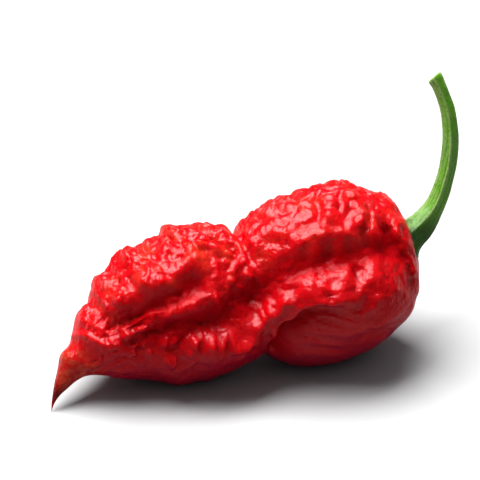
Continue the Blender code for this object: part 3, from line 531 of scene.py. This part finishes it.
# The stalk's colours.
STALK_DARK = (0.052, 0.185, 0.005, 1)
STALK_LIGHT = (0.1, 0.26, 0.016, 1)
# painted light and sheen on one side of the stalk
STALK_PAINTED_LIGHT_SIDE = (0.17, 0.26, 0.075, 1)
STALK_RIDGE_LINE = (0.22, 0.31, 0.1, 1)
STALK_SPECK = (0.028, 0.095, 0.005, 1)
# the calyx's own dark green, deepened by painted shade on the side away from the painted light
CALYX_DARK_AND_SHADE = (0.017, 0.057, 0.002, 1)
CALYX_BLOTCH = (0.011, 0.045, 0.003, 1)
CALYX_RIM = (0.187, 0.152, 0.04, 1)
CUT_END = (0.261, 0.356, 0.087, 1)

TABLE_GREYS = ((0.33, 0.33, 0.335, 1), (0.345, 0.345, 0.345, 1))
TABLE_SIZE = 3.0
TABLE_CELLS = 24

# A softbox over the pod and a little behind it, and a room that is brighter overhead.
KEY_PLACE = (-0.08, 0.075, 0.34)
KEY_AIM = (0.0, 0.0, 0.02)
KEY_SIZE = (0.38, 0.27)
KEY_RADIANCE = 18.0
ROOM_COLOUR = (0.92, 0.95, 1.0, 1)
ROOM_GLOW = {"From Min": 0.3, "To Min": 0.12, "To Max": 0.55}


def curve_through(knots, values, at):
    """A smooth curve that passes through values at knots, read at the given places."""
    knots = np.asarray(knots, float)
    values = np.asarray(values, float)
    slopes = np.gradient(values, knots, axis=0)
    span = np.clip(np.searchsorted(knots, at, side="right") - 1, 0, len(knots) - 2)
    width = (knots[span + 1] - knots[span])[:, None]
    s = (np.asarray(at)[:, None] - knots[span][:, None]) / width
    rest = 1.0 - s
    return (
        (1 + 2 * s) * rest**2 * values[span]
        + s**2 * (3 - 2 * s) * values[span + 1]
        + width * s * rest**2 * slopes[span]
        - width * s**2 * rest * slopes[span + 1]
    )


def between(first, last, share):
    return first + (last - first) * share


def smooth_between(low, high, value):
    """Nought up to the low value, one from the high one on, and a smooth step between."""
    s = np.clip((value - low) / (high - low), 0.0, 1.0)
    return s * s * (3 - 2 * s)


def ring_knots(rings):
    """How far each ring is from the first, along both outlines, as a share of the whole."""
    first, second = (np.diff([ring[i] for ring in rings], axis=0) for i in (0, 1))
    steps = np.linalg.norm(first, axis=1) + np.linalg.norm(second, axis=1)
    return np.concatenate([[0.0], np.cumsum(steps)]) / steps.sum()


def ring_middles(rings, way):
    """The middle and half-width of the ring at each way, between the two outlines."""
    outline = curve_through(ring_knots(rings), [ring[0] + ring[1] for ring in rings], way)
    return (outline[:, :2] + outline[:, 2:]) / 2, (outline[:, :2] - outline[:, 2:]) / 2


def swung(half, share):
    """A shift along the middle line, square to a ring's half-width and this share of it long."""
    return np.column_stack([half[:, 1], -half[:, 0]]) * share[:, None]


def bare_skin(way, turn):
    """The pod before folds, as each ring's middle and the way out from it to the skin."""
    middle, half = ring_middles(RINGS, way)
    ends = DEPTHS[0][0], DEPTHS[-1][0]
    along = np.clip(middle[:, 0], *ends)
    depth = curve_through([row[0] for row in DEPTHS], [row[1:] for row in DEPTHS], along)
    share = np.where(np.cos(turn) > 0, depth[:, 1], depth[:, 2])
    waist = WAIST_FILL * np.exp(-(((middle[:, 0] - WAIST_ALONG) / WAIST_LENGTH) ** 2))
    out = (share * np.linalg.norm(half, axis=1) + waist) * np.cos(turn)
    swing = between(POD_SWING, SEAT_SWING, smooth_between(*SEAT_SWING_SPAN, way))
    flat = half * np.sin(turn)[:, None] + swung(half, swing * depth[:, 1] * np.cos(turn))
    return np.column_stack([middle, depth[:, 0]]), np.column_stack([flat, out])


def place_on_path(points, path):
    """Each point's distance from the path, positive above it, and how far along the path it is."""
    path = np.asarray(path, float)
    knots = np.concatenate([[0.0], np.cumsum(np.linalg.norm(np.diff(path, axis=0), axis=1))])
    fine = np.linspace(0.0, knots[-1], PATH_STEPS * len(path))
    line = curve_through(knots, path, fine)
    best = np.full(len(points), np.inf)
    signed = np.zeros(len(points))
    share = np.zeros(len(points))
    for i, (start, end) in enumerate(zip(line[:-1], line[1:])):
        run = end - start
        s = np.clip((points - start) @ run / (run @ run), 0.0, 1.0)
        off = points - start - s[:, None] * run
        gap = np.hypot(off[:, 0], off[:, 1])
        near = gap < best
        best[near] = gap[near]
        across = run[0] * off[:, 1] - run[1] * off[:, 0]
        signed[near] = (np.sign(across) * gap)[near]
        share[near] = (i + s[near]) / (len(line) - 1)
    return signed, share


def near_path(points, path, reach):
    """Which points lie in the path's own box, widened by this reach."""
    low, high = np.min(path, axis=0) - reach, np.max(path, axis=0) + reach
    return np.all((points[:, :2] > low) & (points[:, :2] < high), axis=1)


def fold_relief(fold, points, front):
    """How far a fold moves the skin: full along its middle, easing out at both ends."""
    side, turn, (fade_in, fade_out), above, below, path = fold
    (upper_height, upper_width), (lower_height, lower_width) = above, below
    facing = front if side == "front" else 1 - front
    shown = (facing > 0) & near_path(points, path, FOLD_REACH * max(upper_width, lower_width))
    relief = np.zeros(len(points))
    gap, share = place_on_path(points[shown, :2], path)
    ends = smooth_between(0.0, fade_in, share) * smooth_between(0.0, fade_out, 1 - share)
    upper = upper_height * np.exp(-((np.abs(gap) / upper_width) ** FOLD_SHAPE))
    lower = lower_height * np.exp(-((np.abs(gap) / lower_width) ** FOLD_SHAPE))
    mix = smooth_between(-turn, turn, gap)
    relief[shown] = (upper * mix + lower * (1 - mix)) * ends * facing[shown]
    return relief


def wrinkle_relief(points, front):
    """How far the front's thin ridges and grooves move the skin."""
    relief = np.zeros(len(points))
    for height, width, path in WRINKLES:
        shown = (front > 0) & near_path(points, path, WRINKLE_REACH * width)
        gap, share = place_on_path(points[shown, :2], path)
        ends = smooth_between(*WRINKLE_SPAN, share) * smooth_between(*WRINKLE_SPAN, 1 - share)
        relief[shown] += height * np.exp(-((gap / width) ** 2)) * ends * front[shown]
    return relief


def noises(points):
    return np.array([noise.noise(point) for point in points.tolist()])


def noise_vectors(points):
    return np.array([noise.noise_vector(point)[:] for point in points.tolist()])


def flat_puff(value, width):
    """Flat-topped puffs, parted where the value is zero by creases of about this width."""
    return np.tanh(np.sqrt(value * value + (PUFF_ROUNDING * width) ** 2) / width)


def puffs_of(grade, points):
    size, shift, warp, crease = grade
    place = points / size + shift * SEED_SHIFT
    return flat_puff(noises(place + noise_vectors(place / 2) * warp), crease)


def raised(rise, puffs, calyx_side):
    """How far puffs stand out, between their height on the tip side and on the calyx side."""
    mean, tip_height, calyx_height = rise
    return between(tip_height, calyx_height, calyx_side) * (puffs - mean)


def columns(points):
    """Columns of skin that stand side by side along the pod and wander a little."""
    wander = COLUMN_WANDER * noises(points / WANDER_SIZE + SEED_SHIFT)
    phase = (points[:, 0] - COLUMN_LEAN * points[:, 1]) / COLUMN_PITCH + wander
    return flat_puff(np.sin(math.pi * phase), COLUMN_CREASE)


def puff_relief(points, turn, front):
    """How far puffs, columns and lumps move the skin, and how deep in a crease each point lies."""
    along = points[:, 0]
    calyx_side = smooth_between(*COLUMN_SPAN, along)
    grades = BIG_PUFFS, SMALL_PUFFS, FINE_PUFFS, LONG_CRINKLE, SHORT_CRINKLE, EDGE_KNOBS
    big, small, fine, long, short, knob = (puffs_of(grade, points) for grade in grades)
    strong = raised(BIG_RISE, big, calyx_side) + raised(COLUMN_RISE, columns(points), calyx_side)
    strong += raised(SMALL_RISE, small, calyx_side) + raised(FINE_RISE, fine, calyx_side)
    crinkle = raised(LONG_RISE, long, calyx_side) + raised(SHORT_RISE, short, calyx_side)
    soft = crinkle * between(*CRINKLE_GAIN, smooth_between(*CRINKLE_SPAN, along))
    for size, shift, height in SOFT_WAVES:
        soft = soft + height * noises(points / size + shift * SEED_SHIFT)
    edge = smooth_between(*UPPER_EDGE, np.sin(turn))
    relief = strong * (1 - front * between(*FRONT_LOSS, calyx_side)) + soft * front
    relief += raised(KNOB_RISE, knob, calyx_side) * edge
    relief += LUMP_HEIGHT * noises(points / LUMP_SIZE - SEED_SHIFT)
    # How deep in a crease each point lies, which paints shade in the creases.
    behind = 1 - np.dot(BACK_CREASE_SHADE, (big, small, fine))
    before = 1 - np.dot(FRONT_CREASE_SHADE, (long, short))
    rough = smooth_between(*SMOOTH_TIP, along)
    rough *= UNDERSIDE_SHARE + (1 - UNDERSIDE_SHARE) * smooth_between(*UNDERSIDE, np.sin(turn))
    return relief * rough, (behind * (1 - front) + before * front) * rough


def placed_puffs(points, front):
    """The front's own puffs: where two meet, the higher one shows, and a crease parts them."""
    relief = np.zeros(len(points))
    shown = np.flatnonzero(front > 0)
    flat = points[shown, :2]
    inner, outer = PUFF_PROFILE
    for along, up, length, width, lean in PUFFS:
        lean = math.radians(lean)
        off = flat - (along, up)
        down = (off[:, 0] * math.sin(lean) - off[:, 1] * math.cos(lean)) / (length * PUFF_SPREAD)
        side = (off[:, 0] * math.cos(lean) + off[:, 1] * math.sin(lean)) / (width * PUFF_SPREAD)
        dome = np.maximum(0.0, 1 - (down**2 + side**2) ** inner) ** outer
        relief[shown] = np.maximum(relief[shown], PUFF_STEEP * PUFF_SPREAD * width * dome)
    calyx_side = smooth_between(*COLUMN_SPAN, points[:, 0])
    return relief * front * (1 - (1 - PUFF_CALYX_SHARE) * calyx_side)


def calm_share(points, front):
    """One where the skin is puffed all over, less in the calm places of the front."""
    share = np.ones(len(points))
    for along, up, length, height in CALM:
        far = np.hypot((points[:, 0] - along) / length, (points[:, 1] - up) / height)
        share = np.minimum(share, CALM_SHARE + (1 - CALM_SHARE) * smooth_between(*CALM_EDGE, far))
    return 1 - front * (1 - share)


def pod_skin(way, turn):
    """The finished skin in the leaning plane, how deep in a crease it lies, and its folds."""
    middle, out = bare_skin(way, turn)
    points = middle + out
    front = smooth_between(-SIDE_BLEND, SIDE_BLEND, np.cos(turn))
    puffs, crease = puff_relief(points, turn, front)
    calm = calm_share(points, front)
    placed = placed_puffs(points, front)
    bent = points + PATH_WARP * noise_vectors(points / PATH_WARP_SIZE)
    wrinkles = wrinkle_relief(points, front)
    puffs = puffs * calm + placed + wrinkles
    # The crease value: painted shade in the creases, and painted light on raised puffs and
    # wrinkles.
    crease = crease * calm - PUFF_PAINTED_LIGHT * placed - WRINKLE_PAINTED_LIGHT * wrinkles
    folds = sum(fold_relief(fold, bent, front) for fold in FOLDS)
    ends = smooth_between(0.0, TIP_WAY, way) * smooth_between(0.0, SEAT_WAY, 1 - way)
    reach = np.maximum(np.linalg.norm(out, axis=1), 1e-6)
    return points + out * ((puffs + folds) * ends / reach)[:, None], crease, folds * ends


def stand_up(points):
    """From the leaning plane to the room: X along the pod, Y away from the front, and Z up."""
    along, up, toward = np.asarray(points, float).T
    back = up * math.sin(PLANE_LEAN) - toward * math.cos(PLANE_LEAN)
    height = up * math.cos(PLANE_LEAN) + toward * math.sin(PLANE_LEAN)
    return np.column_stack([along, back, height])


def stalk_skin(way, turn):
    """The calyx and stalk from the underside to the cut end, and how far off a ridge they are."""
    middle, half = ring_middles(STALK_RINGS, way)
    depths = [ring[2:] for ring in STALK_RINGS]
    toward = curve_through(ring_knots(STALK_RINGS), depths, way)[:, 0]
    radius = np.linalg.norm(half, axis=1)
    twist = np.radians(np.interp(way, *zip(*RIDGE_TURNS)))
    sector = 2 * math.pi / STALK_RIDGES
    off = np.abs((turn - twist + sector / 2) % sector - sector / 2)
    height = RIDGE_HEIGHT * (1 - RIDGE_LOSS * smooth_between(*RIDGE_LOSS_SPAN, way))
    flat_sided = math.cos(sector / 2) / np.cos(sector / 2 - off)
    ridge = 1 + height * (flat_sided - FLAT_SIDED_MEAN) / FLAT_SIDED_RANGE
    tooth = np.maximum(0.0, np.cos(CALYX_TEETH * (turn - CALYX_TOOTH_TURN))) ** 2
    rim = np.exp(-(((way - CALYX_RIM_WAY) / CALYX_RIM_LENGTH) ** 2))
    reach = ridge + CALYX_TOOTH_REACH * tooth * rim / np.maximum(radius, 1.0)
    swing = SEAT_SWING * (1 - smooth_between(CALYX_RIM_WAY, 3 * CALYX_RIM_WAY, way))
    upward, out = reach * np.sin(turn), reach * np.cos(turn)
    flat = middle + half * upward[:, None] + swung(half, swing * out)
    return np.column_stack([flat, toward + radius * out]), off


def skin_grid(sides, rings):
    """The way and turn of each point of a closed skin from pole to pole, and the skin's faces."""
    ways = np.arange(1, rings) / rings
    turns = 2 * math.pi * np.arange(sides) / sides
    way = np.concatenate([[0.0], np.repeat(ways, sides), [1.0]])
    turn = np.concatenate([[0.0], np.tile(turns, rings - 1), [0.0]])
    here = np.arange(sides)
    after = (here + 1) % sides
    start = 1 + sides * np.arange(rings - 2)[:, None]
    corners = start + here, start + sides + here, start + sides + after, start + after
    last = 1 + sides * (rings - 2)
    faces = [(0, 1 + i, 1 + j) for i, j in zip(here, after)]
    faces += np.stack(corners, axis=2).reshape(-1, 4).tolist()
    faces += [(last + i, last + sides, last + j) for i, j in zip(here, after)]
    return way, turn, faces


def finish_mesh(name, faces, places, fields, material):
    """Makes the named piece, with the fields and "rise", how far up it faces, at every point."""
    mesh = bpy.data.meshes.new(name)
    mesh.from_pydata((places * MM).tolist(), [], faces)
    mesh.shade_smooth()
    mesh.materials.append(material)
    mesh.update()
    normals = np.empty(3 * len(places), np.float32)
    mesh.vertices.foreach_get("normal", normals)
    for field, values in {**fields, "rise": normals[2::3]}.items():
        values = np.array(values, np.float32)
        mesh.attributes.new(field, "FLOAT", "POINT").data.foreach_set("value", values)
    piece = bpy.data.objects.new(name, mesh)
    bpy.context.scene.collection.objects.link(piece)
    return piece


class Tree:
    """A material's nodes, with short calls to add and join them."""

    def __init__(self, name):
        self.material = bpy.data.materials.new(name)
        self.material.use_nodes = True
        self.nodes = self.material.node_tree.nodes
        self.links = self.material.node_tree.links
        self.shader = self.nodes["Principled BSDF"]

    def add(self, kind, inputs=None, **settings):
        node = self.nodes.new(kind)
        for key, value in settings.items():
            setattr(node, key, value)
        for key, value in (inputs or {}).items():
            self.put(node.inputs[key], value)
        return node

    def put(self, socket, value):
        if isinstance(value, bpy.types.NodeSocket):
            self.links.new(value, socket)
        else:
            socket.default_value = value

    def finish(self, inputs):
        """Sets or joins the shader's inputs, and gives the material."""
        for key, value in inputs.items():
            self.put(self.shader.inputs[key], value)
        return self.material

    def field(self, name):
        return self.add("ShaderNodeAttribute", attribute_name=name).outputs["Fac"]

    def noise(self, size, detail):
        """Noise with features of this size in metres."""
        place = self.add("ShaderNodeTexCoord").outputs["Object"]
        inputs = {"Vector": place, "Scale": 1.0 / size, "Detail": detail}
        return self.add("ShaderNodeTexNoise", inputs).outputs["Fac"]

    def edge_on(self):
        """Nought where the surface faces the viewer, and one where it is seen edge on."""
        return self.add("ShaderNodeLayerWeight").outputs["Facing"]

    def ramp(self, value, low, high, to_low=0.0, to_high=1.0):
        """A smooth step, from one value at the low end to another at the high end."""
        inputs = {"Value": value, "From Min": low, "From Max": high}
        inputs.update({"To Min": to_low, "To Max": to_high})
        node = self.add("ShaderNodeMapRange", inputs, interpolation_type="SMOOTHSTEP")
        return node.outputs["Result"]

    def sum(self, a, b):
        return self.add("ShaderNodeMath", {0: a, 1: b}, operation="ADD").outputs[0]

    def product(self, a, b):
        return self.add("ShaderNodeMath", {0: a, 1: b}, operation="MULTIPLY").outputs[0]

    def mix(self, share, a, b):
        node = self.add("ShaderNodeMix", {"Factor": share, "A": a, "B": b}, data_type="RGBA")
        return node.outputs["Result"]

    def bump(self, height, distance, normal=None, strength=1.0):
        """The given normal, or the surface's own, with bumps of this height in metres."""
        inputs = {"Height": height, "Distance": distance, "Strength": strength}
        if normal is not None:
            inputs["Normal"] = normal
        return self.add("ShaderNodeBump", inputs).outputs["Normal"]


def red_skin():
    """Waxy skin: painted shade in creases, folds and where it turns down, orange patches partly
    painted light on top, brown at the tip.
    """
    tree = Tree("red_skin")
    fold, rise, way = tree.field("fold"), tree.field("rise"), tree.field("way")
    # Painted shade in the creases, and painted light on raised puffs and wrinkles, through the
    # crease field.
    colour = tree.mix(tree.ramp(tree.field("crease"), 0.2, 0.7), RED_LIT, RED_CREASE_SHADE)
    # Orange patches on the upper side, partly painted light.
    patch = tree.ramp(tree.noise(0.0036, 3.0), 0.45, 0.68, 0.0, 0.75)
    colour = tree.mix(tree.product(patch, tree.field("top")), colour, RED_ORANGE_AND_LIGHT)
    for field, start, full, most, shade in RED_PAINTED_SHADE_AND_TIP:
        colour = tree.mix(tree.ramp(tree.field(field), start, full, 0.0, most), colour, shade)
    spots = tree.ramp(tree.noise(0.0011, 3.0), 0.4, 0.65)
    colour = tree.mix(tree.product(tree.ramp(way, 0.17, 0.1), spots), colour, TIP_MOTTLE)
    colour = tree.mix(tree.ramp(way, 0.075, 0.03, 0.0, 0.9), colour, TIP_END)

    # The flanks face the bright table, so they have less gloss, and so have edges and folds.
    flank = tree.product(tree.ramp(rise, 0.55, 0.2), tree.ramp(rise, -0.55, -0.15))
    tip_side = tree.ramp(way, 0.45, 0.6, 0.56, 0.3)
    calyx_end = tree.ramp(way, 0.7, 0.82, 0.0, 0.4)
    dull = tree.product(flank, tree.sum(tip_side, calyx_end))
    gloss = tree.ramp(dull, 0.0, 1.0, 0.5, 0.0)
    gloss = tree.product(gloss, tree.ramp(tree.edge_on(), 0.4, 0.8, 1.0, 0.1))
    gloss = tree.product(gloss, tree.ramp(fold, -0.3, -1.3, 1.0, 0.22))

    dimple = tree.bump(tree.noise(0.0015, 1.0), 0.00018)
    wrinkle = tree.bump(tree.noise(0.0007, 2.0), 0.00021, dimple)
    return tree.finish({
        "Base Color": colour,
        "Roughness": tree.ramp(tree.noise(0.0012, 2.0), 0.3, 0.7, 0.09, 0.16),
        "Specular IOR Level": gloss,
        "Normal": tree.bump(tree.noise(0.0003, 1.0), 0.00002, wrinkle),
        "IOR": 1.24,
        "Subsurface Weight": 0.68,
        "Subsurface Radius": (1.0, 0.04, 0.03),
        "Subsurface Scale": 0.0034,
    })


def green_stalk():
    """Satin green: painted light and sheen on one side, a pale ridge line, specks, a dark calyx
    deepened by painted shade on its other side, a dry rim, a pale cut.
    """
    tree = Tree("green_stalk")
    way, side = tree.field("way"), tree.field("side")
    colour = tree.mix(tree.noise(0.004, 3.0), STALK_DARK, STALK_LIGHT)
    uneven = tree.ramp(tree.noise(0.0016, 2.0), 0.3, 0.7, -0.3, 0.3)
    # Painted light and sheen on one side of the stalk.
    pale = tree.product(tree.ramp(tree.sum(side, uneven), -0.2, 0.8), 0.55)
    colour = tree.mix(pale, colour, STALK_PAINTED_LIGHT_SIDE)
    broken = tree.ramp(tree.noise(0.002, 2.0), 0.25, 0.6, 0.25, 0.8)
    line = tree.product(tree.ramp(tree.field("edge"), 0.3, 0.05), broken)
    colour = tree.mix(line, colour, STALK_RIDGE_LINE)
    speck = tree.ramp(tree.noise(0.0004, 2.0), 0.53, 0.64, 0.0, 0.5)
    colour = tree.mix(speck, colour, STALK_SPECK)
    # The calyx's own dark, fuller on the side away from the painted light: painted shade.
    below = tree.ramp(side, 0.35, -0.3, 0.3, 1.0)
    dark = tree.product(tree.ramp(way, 0.34, 0.17, 0.0, 0.95), below)
    colour = tree.mix(dark, colour, CALYX_DARK_AND_SHADE)
    spots = tree.ramp(tree.noise(0.0009, 3.0), 0.48, 0.6, 0.0, 0.7)
    colour = tree.mix(tree.product(tree.ramp(way, 0.26, 0.14), spots), colour, CALYX_BLOTCH)
    colour = tree.mix(tree.product(tree.ramp(way, 0.115, 0.10), 0.7), colour, CALYX_RIM)
    colour = tree.mix(tree.ramp(way, 0.962, 0.972), colour, CUT_END)
    streak = tree.bump(tree.field("streak"), 0.0002, strength=0.6)
    return tree.finish({
        "Base Color": colour,
        "Roughness": tree.ramp(tree.noise(0.001, 2.0), 0.3, 0.7, 0.38, 0.5),
        "Specular IOR Level": tree.ramp(tree.edge_on(), 0.3, 0.75, 0.4, 0.05),
        "Normal": tree.bump(tree.noise(0.0004, 3.0), 0.00006, streak),
        "IOR": 1.3,
        "Subsurface Weight": 0.12,
        "Subsurface Radius": (0.4, 1.0, 0.1),
        "Subsurface Scale": 0.0008,
    })


def pale_table():
    tree = Tree("pale_table")
    colour = tree.mix(tree.noise(0.02, 2.0), *TABLE_GREYS)
    return tree.finish({"Base Color": colour, "Roughness": 0.6})


def make_pod(shift):
    way, turn, faces = skin_grid(POD_SIDES, POD_RINGS)
    skin, crease, fold = pod_skin(way, turn)
    places = stand_up(skin) + shift
    places[:, 2] = np.maximum(places[:, 2], 0.0)
    top = smooth_between(*ORANGE_FACING, np.sin(turn)) * smooth_between(*ORANGE_START, skin[:, 0])
    top *= 1 - ORANGE_LOSS * smooth_between(*ORANGE_FADE, skin[:, 0])
    fields = {"crease": crease, "fold": fold, "way": way, "top": top}
    return finish_mesh("pod_skin", faces, places, fields, red_skin())


def drape(points, way, pod, axis):
    """Lays the calyx's rim on the pod's skin, and leaves the stalk as it is."""
    corners = [vertex.co / MM for vertex in pod.data.vertices]
    skin = BVHTree.FromPolygons(corners, [face.vertices[:] for face in pod.data.polygons])
    for i in np.flatnonzero(way < DRAPE_SPAN[1]):
        start = Vector(points[i]) + axis * DRAPE_LIFT
        spot = skin.ray_cast(start, -axis, DRAPE_DROP)[0]
        if spot is None:
            continue
        height = (Vector(points[i]) - spot).dot(axis)
        want = RIM_HEIGHT - UNDER_DEPTH * (1 - smooth_between(*UNDER_SPAN, way[i]))
        fade = 1 - smooth_between(*DRAPE_SPAN, way[i])
        points[i] += np.array(axis) * (want - height) * fade
    return points


def make_stalk(shift, pod):
    way, turn, faces = skin_grid(STEM_SIDES, STEM_RINGS)
    skin, off = stalk_skin(way, turn)
    points = stand_up(skin) + shift
    first, last = STALK_RINGS[CALYX_RIM_RING][:2]
    across = np.subtract(first, last)
    axis = stand_up([[across[1], -across[0], -SEAT_SWING * np.linalg.norm(across)]])[0]
    points = drape(points, way, pod, Vector(axis).normalized())
    streak = noises(np.column_stack([way, np.cos(turn), np.sin(turn)]) * STREAK_SCALE + SEED_SHIFT)
    side = np.sin(turn - PAINTED_LIGHT_SIDE_TURN)
    fields = {"way": way, "edge": off, "side": side, "streak": streak}
    return finish_mesh("stalk_skin", faces, points, fields, green_stalk())


def make_table():
    mesh = bpy.data.meshes.new("table")
    sheet = bmesh.new()
    bmesh.ops.create_grid(sheet, x_segments=TABLE_CELLS, y_segments=TABLE_CELLS, size=TABLE_SIZE)
    sheet.to_mesh(mesh)
    sheet.free()
    mesh.materials.append(pale_table())
    table = bpy.data.objects.new("table", mesh)
    bpy.context.scene.collection.objects.link(table)


def make_light():
    lamp = bpy.data.lights.new("key", "AREA")
    lamp.shape = "RECTANGLE"
    lamp.size, lamp.size_y = KEY_SIZE
    lamp.energy = KEY_RADIANCE * math.pi * KEY_SIZE[0] * KEY_SIZE[1]
    softbox = bpy.data.objects.new("key", lamp)
    softbox.location = KEY_PLACE
    aim = Vector(KEY_AIM) - Vector(KEY_PLACE)
    softbox.rotation_euler = aim.to_track_quat("-Z", "Y").to_euler()
    bpy.context.scene.collection.objects.link(softbox)

    world = bpy.data.worlds.new("room")
    world.use_nodes = True
    nodes, links = world.node_tree.nodes, world.node_tree.links
    direction = nodes.new("ShaderNodeSeparateXYZ")
    links.new(nodes.new("ShaderNodeTexCoord").outputs["Generated"], direction.inputs[0])
    glow = nodes.new("ShaderNodeMapRange")
    links.new(direction.outputs["Z"], glow.inputs["Value"])
    for key, value in ROOM_GLOW.items():
        glow.inputs[key].default_value = value
    nodes["Background"].inputs["Color"].default_value = ROOM_COLOUR
    links.new(glow.outputs["Result"], nodes["Background"].inputs["Strength"])
    bpy.context.scene.world = world
    bpy.context.scene.view_settings.view_transform = "Standard"


def make_camera(shift):
    """Looks square at the leaning plane from far off, with the photograph's framing."""
    right = Vector((1, 0, 0))
    upward = Vector((0, math.sin(PLANE_LEAN), math.cos(PLANE_LEAN)))
    out = right.cross(upward)
    lens = bpy.data.cameras.new("camera")
    lens.sensor_width = SENSOR
    lens.lens = SENSOR * VIEW_DISTANCE / VIEW_WIDTH
    lens.clip_end = 100.0
    camera = bpy.data.objects.new("camera", lens)
    turned = Matrix((right, upward, out)).transposed().to_4x4()
    centre = stand_up([VIEW_CENTRE])[0] + shift
    turned.translation = (Vector(centre) + out * VIEW_DISTANCE) * MM
    camera.matrix_world = turned
    bpy.context.scene.collection.objects.link(camera)
    bpy.context.scene.camera = camera


def main():
    noise.seed_set(SEED)
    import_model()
    low = np.array(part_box("pod")[0]) / MM
    shift = low - stand_up([TIP])[0]
    pod = make_pod(shift)
    stalk = make_stalk(shift, pod)
    for piece, node, slot in ((pod, "pod", "pod_skin"), (stalk, "stem", "stem_green")):
        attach(piece, "root")
        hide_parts(node)
    make_table()
    make_light()
    make_camera(shift)


main()
